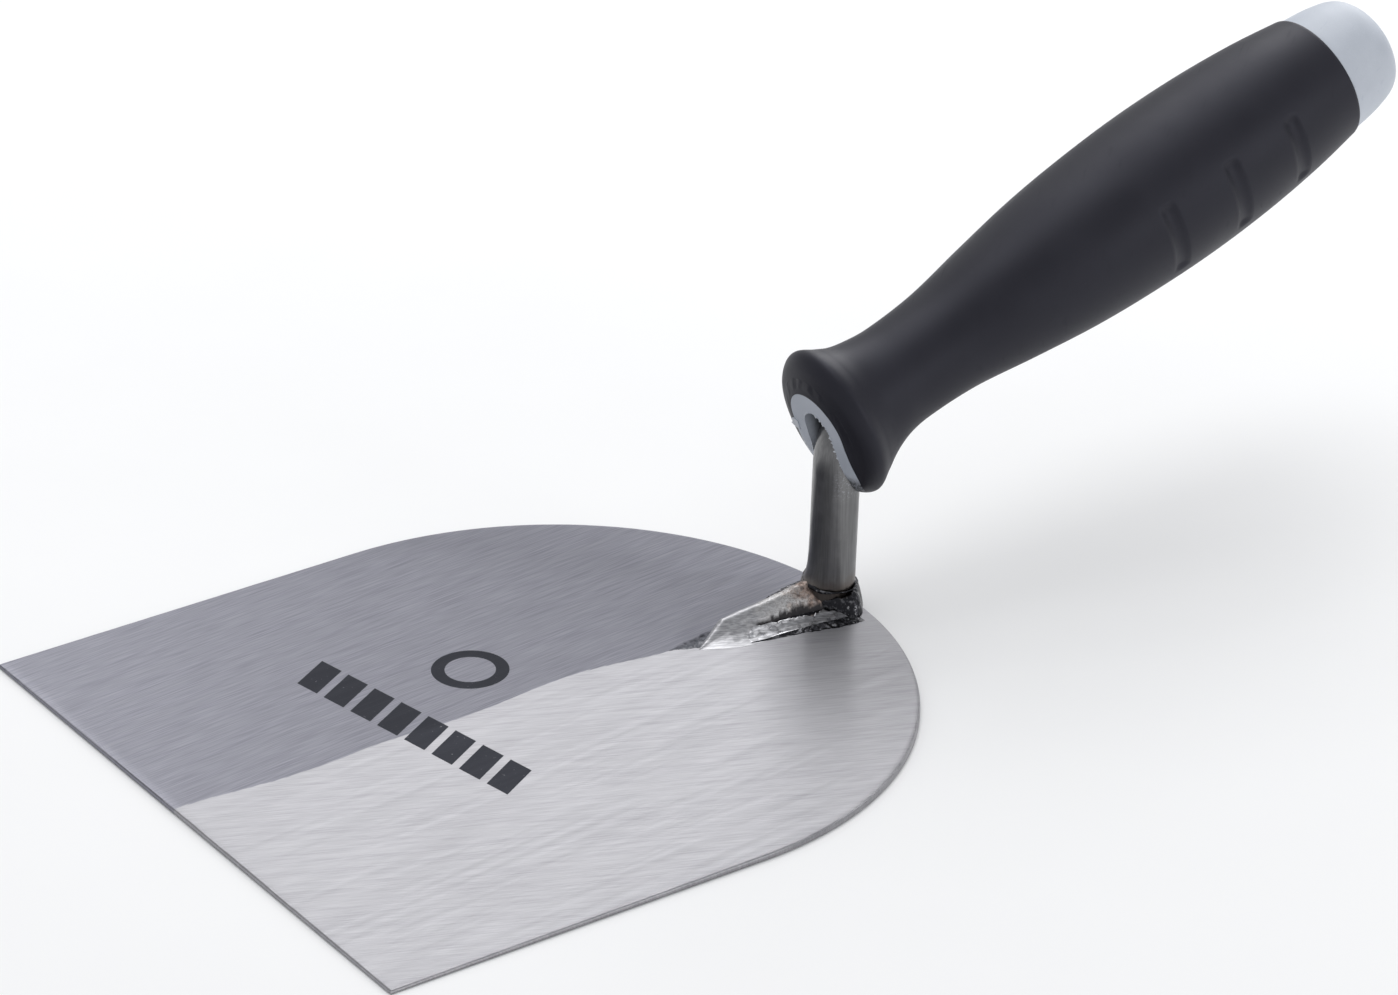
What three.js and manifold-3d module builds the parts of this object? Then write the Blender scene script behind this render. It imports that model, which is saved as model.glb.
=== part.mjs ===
// A plasterer's trowel: a flat plate with a straight front edge and a round heel, a steel rod
// neck welded on at the heel, and a two-part moulded handle that rises backwards from the neck.
// Millimetres. +X points from the front edge to the handle, +Y to the left, +Z up.
// The origin is on the plate's flat underside, halfway between the front edge and the heel.

import * as THREE from 'three';
import { mergeVertices } from 'three/addons/utils/BufferGeometryUtils.js';
import Module from 'manifold-3d';

const { degToRad } = THREE.MathUtils;

// Plate
const BLADE_LENGTH = 150;
const BLADE_WIDTH = 140;
const CORNER_CUT = 0.8;           // the front corners are just taken off
const RIDGE_FRONT = 1.0;          // thickness on the ridge at the front edge
const RIDGE_HEEL = 1.8;           // thickness on the ridge at the heel
const FACET_FALL = 0.25;          // how far a ground facet falls from the ridge to the side
const RIDGE_Y = 2.5;              // the ridge lies a little left of the middle

// Rod: the neck, its bend and the tang
const ROD_RADIUS = 4.65;
const NECK_X = 70.8;              // where the neck's axis meets the plate
const NECK_LEAN = degToRad(1.4);
const BEND_RADIUS = 16;
const TANG_RADIUS = 3.9;
const TANG_END = 100;             // the tang's point, from the handle's front face
const BARB_COUNT = 6;
const BARB_PITCH = 9;
const BARB_DEPTH = 0.9;
const SHOULDER = 8;               // the full rod runs this far past its bend
const BELOW_FOOT = 9;             // how far the rod's cutter reaches below the neck's foot

// Shoe and welds
const FOOT_TIP_X = 38.6;
const RING_HEIGHT = 6.1;          // the weld ring's height above the underside
const RING_TUBE = 0.7;
const BEAD_HALF_LENGTH = 14;
const BEAD_HALF_WIDTH = 2.7;
const BEAD_HEIGHT = 1.9;
const BEAD_X = 61.5;
const BEAD_Y = 5.5;               // the middle of each bead, from the plate's centre line
const LUMP_HALVES = [5.7, 6.6, 4.4]; // half sizes of the weld behind the rod
const LUMP_PLACE = [0.6, -0.6, 1.2]; // its middle, from the neck's axis on the plate
const BEAD_ANGLE = degToRad(10.5); // each bead runs outwards towards the heel

// Handle, measured along its own axis from its front face
const HANDLE_ANGLE = degToRad(20.05);
const CORNER_HEIGHT = 42.3;       // where the neck's axis meets the handle's axis
const CORNER_DEPTH = 5.4;         // that corner lies this far behind the front face
const HANDLE_LENGTH = 146.5;
const SEAM = 129.7;               // the sleeve ends and the bare butt begins
const LIP_STATION = 4.1;
const LIP_DROP = 0.9;             // the front lip is centred this far below the axis
const LIP_OVAL = 0.17;            // and is this much taller than it is wide
const LIP_FADE_START = 6.5;
const LIP_FADE_END = 16;
const CORE_MOUTH_RADIUS = 8;
const RIM_DEPTH = 2;              // depth of the rim's two legs beside the slot
const SLOT_HALF_WIDTH = ROD_RADIUS + 0.3;
const SLOT_ARCH_Z = -1;
const SLOT_DEPTH = 12;

// Finger grooves: station, and the sleeve's radius there
const GROOVES = [[79.7, 16.3], [96, 16.45], [112.4, 15.65]];
const GROOVE_WIDTH = 3.6;
const GROOVE_DEPTH = 0.75;
const GROOVE_HALF_ANGLE = degToRad(30);
const GROOVE_DIP = degToRad(2);   // the grooves' middle lies a little below the flank

const GAP = 0.3;                  // between neighbours that touch or are moulded together
const ROUND = 36;                 // sides of the handle
const FAR = 60;                   // past the end of anything that is cut
const PAST_FACE = 6;              // and past the handle's front face

// Outer radius of the sleeve: station from the front face, radius
const SLEEVE_OUTLINE = [
  [LIP_STATION, 14.05], [7.2, 12.7], [10.3, 11.6], [14.5, 11], [20.5, 10.45], [32, 10.95],
  [46, 13.05], [60, 14.95], [74, 16.05], [89, 16.55], [104, 16.2], [118, 15.1], [SEAM - 0.5, 13.6],
];
// Convex front face, from the core's rim out to the lip
const FACE_OUTLINE = [[0, CORE_MOUTH_RADIUS], [0.4, 9.6], [1.5, 12.8], [LIP_STATION, 14.05]];
// Bare butt
const BUTT_OUTLINE = [
  [SEAM + GAP, 13.15], [137, 12.2], [142, 10.4], [144.9, 5.9], [HANDLE_LENGTH, 0],
];
// Shoe: distance behind its tip, half width
const SHOE_OUTLINE = [
  [0, 0], [0.3, 0.9], [2.5, 1.6], [7, 2.6], [14, 3.5], [22, 4.7], [27.6, 6], [27.6, 0],
];
const SHOE_RISE_TIP = 1.35;       // height of a section over its half width at the tip
const SHOE_RISE_LOSS = 0.018;     // and how fast that ratio falls towards the heel
// Core under the sleeve
const CORE_OUTLINE = [
  [0, CORE_MOUTH_RADIUS], [6, CORE_MOUTH_RADIUS], [14, 8], [24, 7.8], [46, 10], [62, 12],
  [90, 13.4], [112, 12.6], [SEAM, 10.4],
];

const wasm = await Module();
wasm.setup();

const materials = {
  blade: { color: 0xb9bac2, roughness: 0.35, metalness: 1 },
  forged: { color: 0x8d8a86, roughness: 0.45, metalness: 1 },
  rod: { color: 0x5c5c5e, roughness: 0.4, metalness: 1 },
  weld: { color: 0x4a4744, roughness: 0.5, metalness: 1 },
  plastic: { color: 0xaab2c0, roughness: 0.5, metalness: 0 },
  rubber: { color: 0x24242a, roughness: 0.6, metalness: 0 },
};

// A closed geometry as a solid: corners merged, flat slivers at the poles dropped
function solid(geometry) {
  const bare = geometry.clone();
  bare.deleteAttribute('normal');
  bare.deleteAttribute('uv');
  const merged = mergeVertices(bare, 1e-4);
  const index = merged.index.array;
  const triangles = [];
  for (let i = 0; i < index.length; i += 3) {
    const [a, b, c] = index.slice(i, i + 3);
    if (a !== b && b !== c && c !== a) triangles.push(a, b, c);
  }
  return new wasm.Manifold(new wasm.Mesh({
    numProp: 3,
    vertProperties: merged.attributes.position.array,
    triVerts: new Uint32Array(triangles),
  }));
}

function mesh(name, body, look) {
  const { vertProperties, triVerts } = body.getMesh();
  const geometry = new THREE.BufferGeometry();
  geometry.setAttribute('position', new THREE.BufferAttribute(vertProperties, 3));
  geometry.setIndex(new THREE.BufferAttribute(triVerts, 1));
  geometry.computeVertexNormals();
  const result = new THREE.Mesh(geometry, new THREE.MeshStandardMaterial(look));
  result.name = name;
  return result;
}

// A body of revolution about X from [station, radius] pairs; both ends lie on the axis
function lathe(outline, sides) {
  const points = outline.map(([station, radius]) => new THREE.Vector2(radius, station));
  return new THREE.LatheGeometry(points, sides).rotateZ(-Math.PI / 2);
}

function block(from, to) {
  const size = to.map((value, i) => value - from[i]);
  const middle = to.map((value, i) => (value + from[i]) / 2);
  return new THREE.BoxGeometry(...size).translate(...middle);
}

// A smooth outline through a few [station, radius] pairs
function smooth(outline, steps) {
  const curve = new THREE.SplineCurve(outline.map(([s, r]) => new THREE.Vector2(s, r)));
  return curve.getPoints(steps).map((point) => [point.x, point.y]);
}

// ---------------------------------------------------------------- plate

const ridgeSlope = (RIDGE_HEEL - RIDGE_FRONT) / BLADE_LENGTH;

function plateTop(x) {
  return RIDGE_FRONT + ridgeSlope * (x + BLADE_LENGTH / 2);
}

function bladeOutline() {
  const front = -BLADE_LENGTH / 2;
  const half = BLADE_WIDTH / 2;
  const shape = new THREE.Shape();
  shape.moveTo(front, half - CORNER_CUT);
  shape.lineTo(front, CORNER_CUT - half);
  shape.lineTo(front + CORNER_CUT, -half);
  shape.absarc(BLADE_LENGTH / 2 - half, 0, half, -Math.PI / 2, Math.PI / 2);
  shape.lineTo(front + CORNER_CUT, half);
  return shape;
}

// Everything above one ground facet
function facetCutter(side) {
  const tilt = Math.atan(FACET_FALL / (BLADE_WIDTH / 2));
  return block([-BLADE_LENGTH, -BLADE_WIDTH, 0], [BLADE_LENGTH, BLADE_WIDTH, FAR])
    .rotateX(-side * tilt)
    .rotateY(-Math.atan(ridgeSlope))
    .translate(0, RIDGE_Y, plateTop(0));
}

function blade() {
  const thick = { depth: 2 * RIDGE_HEEL, bevelEnabled: false, curveSegments: 32 };
  return solid(new THREE.ExtrudeGeometry(bladeOutline(), thick))
    .subtract(solid(facetCutter(1)))
    .subtract(solid(facetCutter(-1)));
}

// ---------------------------------------------------------------- rod

const axis = new THREE.Vector3(Math.cos(HANDLE_ANGLE), 0, Math.sin(HANDLE_ANGLE));
const neckUp = new THREE.Vector3(Math.sin(NECK_LEAN), 0, Math.cos(NECK_LEAN));
const plateHeight = plateTop(NECK_X);
const neckFoot = new THREE.Vector3(NECK_X, 0, plateHeight + GAP);
const neckLength = (CORNER_HEIGHT - neckFoot.z) / neckUp.z;
const corner = neckFoot.clone().addScaledVector(neckUp, neckLength);
const bendAngle = neckUp.angleTo(axis);
const bendReach = BEND_RADIUS * Math.tan(bendAngle / 2);

// The rod's middle line, from below the neck's foot to the shoulder of the tang
function rodPath(extraBelow) {
  const arm = (4 / 3) * Math.tan(bendAngle / 4) * BEND_RADIUS;
  const start = neckFoot.clone().addScaledVector(neckUp, -extraBelow);
  const bendStart = corner.clone().addScaledVector(neckUp, -bendReach);
  const bendEnd = corner.clone().addScaledVector(axis, bendReach);
  const shoulder = bendEnd.clone().addScaledVector(axis, SHOULDER);
  const path = new THREE.CurvePath();
  path.add(new THREE.LineCurve3(start, bendStart));
  path.add(new THREE.CubicBezierCurve3(
    bendStart,
    bendStart.clone().addScaledVector(neckUp, arm),
    bendEnd.clone().addScaledVector(axis, -arm),
    bendEnd,
  ));
  path.add(new THREE.LineCurve3(bendEnd, shoulder));
  return path;
}

function rod(radius, extraBelow) {
  const section = new THREE.Shape().absarc(0, 0, radius, 0, 2 * Math.PI);
  const options = { steps: 22, extrudePath: rodPath(extraBelow), curveSegments: 10 };
  return solid(new THREE.ExtrudeGeometry(section, options));
}

const handle = new THREE.Group();
handle.position.copy(corner).addScaledVector(axis, -CORNER_DEPTH);
handle.rotation.y = -HANDLE_ANGLE;
handle.updateMatrix();
const toHandle = handle.matrix.clone().invert();

const tangStart = CORNER_DEPTH + bendReach + 4;

// The turned-down tang with its barbs, in the handle's frame
function tang() {
  const root = TANG_RADIUS - BARB_DEPTH;
  const outline = [[tangStart, 0], [tangStart, TANG_RADIUS]];
  const barbsEnd = TANG_END - 2 * TANG_RADIUS;
  for (let i = BARB_COUNT; i > 0; i -= 1) {
    const station = barbsEnd - i * BARB_PITCH;
    outline.push([station, TANG_RADIUS], [station + 0.6, root]);
  }
  outline.push([barbsEnd, TANG_RADIUS], [TANG_END, 0]);
  return lathe(outline, 16);
}

function tangNeck() {
  return rod(ROD_RADIUS, 0).add(solid(tang().applyMatrix4(handle.matrix)));
}

// ---------------------------------------------------------------- shoe and welds

function ring(clearance) {
  const major = ROD_RADIUS + GAP + RING_TUBE;
  return new THREE.TorusGeometry(major, RING_TUBE + clearance, 8, 24)
    .rotateY(NECK_LEAN)
    .translate(NECK_X + Math.tan(NECK_LEAN) * RING_HEIGHT, 0, RING_HEIGHT);
}

// A fillet bead along one side of the shoe: side is -1 on the right, 1 on the left
function bead(side, clearance) {
  const grown = [BEAD_HALF_LENGTH, BEAD_HALF_WIDTH, BEAD_HEIGHT].map((half) => half + clearance);
  return new THREE.SphereGeometry(1, 16, 10)
    .scale(...grown)
    .rotateZ(side * BEAD_ANGLE)
    .translate(BEAD_X, side * BEAD_Y, plateHeight);
}

function heelLump(clearance) {
  const [x, y, z] = LUMP_PLACE;
  return new THREE.SphereGeometry(1, 16, 12)
    .scale(...LUMP_HALVES.map((half) => half + clearance))
    .translate(NECK_X + x, y, plateHeight + z);
}

// Everything above the plate's top, a gap clear of it
function abovePlate() {
  return solid(block([-FAR, -FAR, 0], [2 * FAR, FAR, FAR])
    .rotateY(-Math.atan(ridgeSlope))
    .translate(0, 0, plateTop(0) + GAP));
}

function shoe() {
  const body = lathe(SHOE_OUTLINE, 24);
  const position = body.attributes.position;
  for (let i = 0; i < position.count; i += 1) {
    const rise = SHOE_RISE_TIP - SHOE_RISE_LOSS * position.getX(i);
    position.setZ(i, position.getZ(i) * rise);
  }
  body.translate(FOOT_TIP_X, 0, plateHeight);
  return solid(body)
    .intersect(abovePlate())
    .subtract(rod(ROD_RADIUS + GAP, BELOW_FOOT))
    .subtract(solid(ring(GAP)))
    .subtract(solid(bead(-1, GAP)))
    .subtract(solid(bead(1, GAP)))
    .subtract(solid(heelLump(GAP)));
}

function heelWeld() {
  return solid(heelLump(0))
    .intersect(abovePlate())
    .subtract(rod(ROD_RADIUS + GAP, BELOW_FOOT))
    .subtract(solid(ring(GAP)))
    .subtract(solid(bead(-1, GAP)))
    .subtract(solid(bead(1, GAP)));
}

// ---------------------------------------------------------------- handle

// The lip at the front is taller than wide, and centred a little below the handle's axis
function shapeLip(geometry) {
  const position = geometry.attributes.position;
  for (let i = 0; i < position.count; i += 1) {
    const station = position.getX(i);
    const lip = 1 - THREE.MathUtils.smoothstep(station, LIP_FADE_START, LIP_FADE_END);
    position.setZ(i, position.getZ(i) * (1 + LIP_OVAL * lip) - LIP_DROP * lip);
  }
  return geometry;
}

function envelope() {
  const outline = [
    [0, 0],
    ...smooth(FACE_OUTLINE, 5).slice(0, -1),
    ...smooth(SLEEVE_OUTLINE, 30),
    [SEAM, 13.3],
    [SEAM, 0],
  ];
  return solid(shapeLip(lathe(outline, ROUND)));
}

// The core's outline, grown by a clearance where it cuts the sleeve
function coreRound(clearance) {
  const front = -3 * clearance;
  const grown = CORE_OUTLINE.map(([station, radius]) => [station, radius + clearance]);
  return [[front, 0], [front, CORE_MOUTH_RADIUS + clearance], ...grown];
}

// The core's rim runs down on both sides of the slot to the lip's lower edge
function rimLegs(clearance) {
  const half = CORE_MOUTH_RADIUS + clearance;
  return solid(block([-FAR, -half, -FAR], [RIM_DEPTH + clearance, half, 0]));
}

// The slot that the rod comes out of: an arch seen from the front, open below, and cut off
// along the neck's axis seen from the side
function slot() {
  const arch = new THREE.Shape();
  arch.absarc(0, SLOT_ARCH_Z, SLOT_HALF_WIDTH, 0, Math.PI);
  arch.lineTo(-SLOT_HALF_WIDTH, -FAR);
  arch.lineTo(SLOT_HALF_WIDTH, -FAR);
  const alongHandle = new THREE.ExtrudeGeometry(arch, {
    depth: SLOT_DEPTH + PAST_FACE, bevelEnabled: false, curveSegments: 10,
  });
  alongHandle.applyMatrix4(new THREE.Matrix4().makeBasis(
    new THREE.Vector3(0, 1, 0), new THREE.Vector3(0, 0, 1), new THREE.Vector3(1, 0, 0),
  )).translate(-PAST_FACE, 0, 0);
  const neckDown = neckUp.clone().transformDirection(toHandle);
  const neckShift = neckDown.x / neckDown.z;
  const side = new THREE.Shape([
    new THREE.Vector2(-FAR, FAR),
    new THREE.Vector2(SLOT_DEPTH, FAR),
    new THREE.Vector2(SLOT_DEPTH, SLOT_ARCH_Z),
    new THREE.Vector2(CORNER_DEPTH + SLOT_ARCH_Z * neckShift, SLOT_ARCH_Z),
    new THREE.Vector2(CORNER_DEPTH - FAR * neckShift, -FAR),
    new THREE.Vector2(-FAR, -FAR),
  ]);
  const across = new THREE.ExtrudeGeometry(side, { depth: FAR, bevelEnabled: false })
    .rotateX(Math.PI / 2)
    .translate(0, FAR / 2, 0);
  return solid(alongHandle).intersect(solid(across));
}

function rodChannel() {
  return rod(ROD_RADIUS + GAP, BELOW_FOOT).transform(toHandle.elements);
}

// The socket for the tang, which the rod's channel opens to the front
function socket() {
  const bore = TANG_RADIUS + GAP;
  const shoulder = CORNER_DEPTH + bendReach + SHOULDER + GAP;
  const wide = ROD_RADIUS + GAP;
  return solid(lathe([
    [shoulder - 2, 0], [shoulder - 2, wide], [shoulder, wide], [shoulder, bore],
    [TANG_END - 2 * TANG_RADIUS, bore], [TANG_END + 2 * GAP, 0],
  ], 20));
}

function handleCore() {
  const shoulder = [SEAM + GAP, CORE_OUTLINE.at(-1)[1]];
  const outline = [...coreRound(0), shoulder, ...smooth(BUTT_OUTLINE, 12)];
  return solid(lathe(outline, ROUND))
    .add(rimLegs(0).intersect(envelope()))
    .subtract(slot())
    .subtract(rodChannel())
    .subtract(socket());
}

// A ring wider than the handle, off centre, so that it bites only into one flank
function grooveCutter([station, surface], side) {
  const bottom = surface - GROOVE_DEPTH;
  const cos = Math.cos(GROOVE_HALF_ANGLE);
  const inner = (bottom ** 2 + surface ** 2 - 2 * surface * bottom * cos)
    / (2 * (bottom - surface * cos));
  const tube = (GROOVE_WIDTH ** 2 / 4 + GROOVE_DEPTH ** 2) / (2 * GROOVE_DEPTH);
  return solid(new THREE.TorusGeometry(inner + tube, tube, 12, 48)
    .rotateY(Math.PI / 2)
    .translate(station, -side * (inner - bottom), 0)
    .rotateX(-side * GROOVE_DIP));
}

function gripSleeve() {
  const past = SEAM + 1;
  const bore = [...coreRound(GAP), [past, CORE_OUTLINE.at(-1)[1]], [past, 0]];
  let sleeve = envelope()
    .subtract(solid(lathe(bore, ROUND)))
    .subtract(rimLegs(GAP))
    .subtract(slot())
    .subtract(rodChannel());
  for (const groove of GROOVES) {
    for (const side of [-1, 1]) sleeve = sleeve.subtract(grooveCutter(groove, side));
  }
  return sleeve;
}

// ---------------------------------------------------------------- assembly

handle.add(
  mesh('handle_core', handleCore(), materials.plastic),
  mesh('grip_sleeve', gripSleeve(), materials.rubber),
);

const trowel = new THREE.Group();
trowel.add(
  mesh('blade', blade(), materials.blade),
  mesh('tang_foot', shoe(), materials.forged),
  mesh('tang_neck', tangNeck(), materials.rod),
  mesh('neck_weld', solid(ring(0)), materials.weld),
  mesh('foot_weld_right', solid(bead(-1, 0)).intersect(abovePlate()), materials.weld),
  mesh('foot_weld_left', solid(bead(1, 0)).intersect(abovePlate()), materials.weld),
  mesh('heel_weld', heelWeld(), materials.weld),
  handle,
);

export default trowel;
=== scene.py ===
import math

import bpy
import numpy as np
from mathutils import Matrix, Vector, noise


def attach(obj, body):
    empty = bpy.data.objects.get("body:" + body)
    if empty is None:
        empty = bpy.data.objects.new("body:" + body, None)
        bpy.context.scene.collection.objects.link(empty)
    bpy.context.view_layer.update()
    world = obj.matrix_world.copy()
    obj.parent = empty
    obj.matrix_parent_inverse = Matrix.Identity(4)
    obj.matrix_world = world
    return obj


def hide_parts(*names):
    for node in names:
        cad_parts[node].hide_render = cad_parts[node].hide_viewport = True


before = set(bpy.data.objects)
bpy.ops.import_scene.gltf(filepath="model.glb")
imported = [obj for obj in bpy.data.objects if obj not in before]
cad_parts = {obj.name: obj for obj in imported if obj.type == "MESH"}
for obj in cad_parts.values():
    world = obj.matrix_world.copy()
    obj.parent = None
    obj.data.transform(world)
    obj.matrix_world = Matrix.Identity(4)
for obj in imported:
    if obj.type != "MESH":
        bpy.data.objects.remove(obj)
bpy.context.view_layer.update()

# A plasterer's trowel. Shapes are worked out in millimetres, in the part's own frame:
# +X from the front edge to the handle, +Y to the left, +Z up, origin on the plate's underside.

MM = 0.001

# Plate
FRONT_X = -75.0
HALF_WIDTH = 70.0
HEEL_CENTRE_X = 5.0
RIDGE_FRONT = 1.0
RIDGE_SLOPE = 0.8 / 150
RIDGE_Y = 2.5
RIDGE_SOFT = 0.6
FACET_SLOPE = 0.25 / 70
EDGE_INSET = 0.42
GRAIN_MAP = "grain"
GRAIN_TILE = 0.2  # metres of plate that the grain's map spans
FAR_GRAIN = math.radians(4.8)
NEAR_GRAIN = math.radians(-24.0)
# The plate's mesh, finest about the shoe: rows, and columns in half widths, as (start, end, count)
PLATE_ROWS = ((FRONT_X + EDGE_INSET, 5, 42), (5, 31, 14), (31, 48, 50), (48, 62, 14))
PLATE_COLUMNS = (
    (-1, -0.92, 4), (-0.92, -0.12, 22), (-0.12, -0.045, 6), (-0.045, 0.085, 32),
    (0.085, 0.15, 5), (0.15, 0.92, 21), (0.92, 1, 4),
)
HEEL_ROWS = 30
UNDERSIDE_MIDDLE = (30.0, 0.0, 0.0)
HANDLE_REFLECTION_FADE = (35 * MM, 75 * MM)  # stations between which the near facet darkens a little: a painted reflection of the dark handle

# Rod
ROD_RADIUS = 4.65
NECK_X = 70.8
NECK_LEAN = math.radians(1.4)
BEND_RADIUS = 16.0
TANG_RADIUS = 3.9
TANG_END = 100.0
BARB_COUNT = 6
BARB_PITCH = 9.0
BARB_DEPTH = 0.9

# Handle, measured along its own axis from its front face
HANDLE_ANGLE = math.radians(20.05)
CORNER_HEIGHT = 42.3
CORNER_DEPTH = 5.4
HANDLE_LENGTH = 146.44
SEAM = 129.7
LIP_STATION = 4.1
LIP_DROP = 0.9
LIP_OVAL = 0.17
LIP_FADE = (6.5, 16.0)
MOUTH_RADIUS = 8.0
RIM_DEPTH = 2.0
# The rim's legs and the slot between them: height, half width
LEG_OUTLINE = (
    (0.0, MOUTH_RADIUS), (-4.0, 8.15), (-7.0, 8.25), (-10.0, 8.1), (-13.0, 7.3), (-30.0, 6.0),
)
SLOT_LEGS = ((-30.0, 4.85), (-10.0, 4.8), (-6.0, 4.3), (-1.0, 4.15))
SLOT_ARCH_RISE = 4.85
SLOT_ARCH_Z = -1.0
SLOT_DEPTH = 12.0
# Corners of the scrap of flash at the rim's left edge, across and above the handle's axis
TAB_CORNERS = (
    (6.9, -1.2), (8.3, -0.9), (9.2, -1.6), (8.7, -2.1), (9.6, -2.7), (8.6, -3.2), (7.0, -3.4),
)
HAIRLINE = 0.04
ROD_CLEARANCE = 0.1
INSIDE = 0.04  # keeps the round handle inside the box of the many-sided CAD one
GROOVES = (79.7, 96.0, 112.4)
GROOVE_HALF_WIDTH = 1.75
GROOVE_DEPTH = 0.65
GROOVE_HALF_ANGLE = 30.0
GROOVE_DIP = 2.0
FACE_RINGS = 40  # of the sleeve's rings, those that can lie on its front face

SLEEVE_OUTLINE = (
    (LIP_STATION, 14.05), (7.2, 12.7), (10.3, 11.6), (14.5, 11.0), (20.5, 10.45), (32.0, 10.95),
    (46.0, 13.05), (60.0, 14.95), (74.0, 16.05), (89.0, 16.55), (104.0, 16.2), (118.0, 15.1),
    (SEAM - 0.7, 13.6),
)
FACE_OUTLINE = ((0.0, MOUTH_RADIUS), (0.45, 10.0), (1.6, 12.6))
SEAM_ROUND = ((SEAM - 0.4, 13.5), (SEAM - 0.15, 13.3), (SEAM, 12.95))
BUTT_OUTLINE = ((SEAM, 13.1), (137.0, 12.2), (142.0, 10.4), (144.9, 5.9), (HANDLE_LENGTH, 0.0))
MOUTH_DEPTH = 14.0
CORE_END_RADIUS = 10.4
CORE_OUTLINE = (
    (MOUTH_DEPTH, MOUTH_RADIUS), (24.0, 7.8), (46.0, 10.0), (62.0, 12.0), (90.0, 13.4),
    (112.0, 12.6), (SEAM - 0.3, CORE_END_RADIUS),
)

# Shoe: station x, left toe y, crest y, right toe y, crest height above the plate
SHOE_STATIONS = (
    (38.6, -1.3, -1.5, -1.7, 0.12), (41.0, 0.7, -0.5, -3.0, 0.9), (43.5, 2.0, 0.5, -4.4, 2.3),
    (45.4, 3.0, 0.9, -5.2, 3.4), (50.0, 3.7, 1.0, -5.9, 3.9), (55.0, 4.3, 1.0, -6.4, 4.2),
    (59.4, 4.7, 1.0, -7.0, 4.7), (65.0, 5.4, 0.8, -7.6, 5.6), (70.0, 5.8, 0.6, -8.2, 6.0),
)
# A section's height over the crest's, from the crest out to the toe
NEAR_SECTION = (
    (0.0, 1.0), (0.08, 0.96), (0.2, 0.76), (0.33, 0.5), (0.5, 0.29), (0.75, 0.11), (1.0, 0.0),
)
FAR_SECTION = ((0.0, 1.0), (0.2, 0.97), (0.45, 0.82), (0.7, 0.56), (0.88, 0.28), (1.0, 0.0))
# Weld strips: x, inner edge y and outer edge y, and the width of the dark crust outside it
STRIP_STATIONS = (
    (48.0, -3.6, -5.0, 0.05), (51.0, -1.8, -5.5, 0.3), (57.8, -2.2, -6.1, 1.0),
    (62.1, -2.8, -6.4, 2.0), (66.0, -3.4, -7.0, 2.5), (68.2, -4.3, -7.4, 2.6), (71.8, -5.0, -7.8, 2.3),
)
# The corners of the unground hollow that the grinding left in front of the shoe
HOLLOW = ((33.4, 1.7), (39.9, -1.2), (42.3, 1.1), (45.4, 3.4), (41.8, 3.1))
HOLLOW_DEPTH = 0.4
STRIP_START, STRIP_END = STRIP_STATIONS[0][0], STRIP_STATIONS[-1][0]
GROUND_SHARE = 0.6  # of a strip's columns; the others are its crust
BEAD_HEIGHT = 6.2  # of the weld bead round the rod

# Plain print: a row of slanted blocks, and a ring
ROW_PLACE = (-22.5, 4.0, 0)
ROW_TURN = math.radians(-80)
ROW_HALF_LENGTH = 30.0
ROW_HALF_HEIGHT = 4.6
BLOCK_SLANT = 0.35
BLOCK_PITCH = 7.5
BLOCK_WIDTH = 5.6
RING_PLACE = (-2.0, 17.0, 0)
RING_RADIUS = 6.2
RING_HALF_WIDTH = 1.3

# Tones: dark and light ends, and for the plate a third in broad streaks
# The far facet's tones are darker than the near facet's: painted shade for the light each facet's grain
# catches, over the real grain streaks
FAR_SHADED_TONES = ((0.235, 0.235, 0.272), (0.332, 0.332, 0.373), (0.355, 0.357, 0.392))
NEAR_LIT_TONES = ((0.365, 0.36, 0.381), (0.47, 0.465, 0.486), (0.5, 0.5, 0.515))
# Painted reflection of the dark handle, darkening the near facet towards the heel
HANDLE_REFLECTION_TONE = (0.12, 0.12, 0.13)
HOLLOW_TONE = (0.11, 0.115, 0.13)
PRINT_TONE = (0.055, 0.057, 0.068)
SHOE_TONES = ((0.28, 0.28, 0.294), (0.47, 0.47, 0.485))
SCALE_TONE = (0.68, 0.665, 0.65)
PIT_TONE = (0.12, 0.11, 0.1)
HEAT_TONES = ((0.09, 0.05, 0.035), (0.4, 0.3, 0.25))
CRACK_TONE = (0.05, 0.048, 0.05)
WELD_TONES = ((0.33, 0.33, 0.345), (0.66, 0.66, 0.68))
SLAG_TONES = ((0.03, 0.03, 0.034), (0.16, 0.16, 0.17))
SPATTER_TONE = (0.5, 0.5, 0.51)
ROD_TONES = ((0.172, 0.172, 0.174), (0.214, 0.214, 0.216))
ROD_WORN_TONE = (0.25, 0.25, 0.25)
ROD_HEAT_TONE = (0.12, 0.085, 0.06)
DUST_TONE = (0.36, 0.37, 0.39)
PLASTIC_TONES = ((0.485, 0.52, 0.58), (0.54, 0.575, 0.635))
PLASTIC_SPECK_TONE = (0.6, 0.63, 0.69)
PLASTIC_SCUFF_TONE = (0.42, 0.46, 0.54)
FLASH_TONE = (0.72, 0.74, 0.78)
SMEAR_TONE = (0.05, 0.05, 0.054)
# Painted shade inside the slot and the cavity behind the rim
SLOT_SHADE_TONE = (0.02, 0.02, 0.022)
RUBBER_TONES = ((0.0115, 0.0112, 0.0155), (0.0155, 0.0152, 0.0205))
LINT_TONE = (0.09, 0.09, 0.1)
FLOOR_TONES = ((0.9, 0.9, 0.9), (0.92, 0.92, 0.92))

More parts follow.
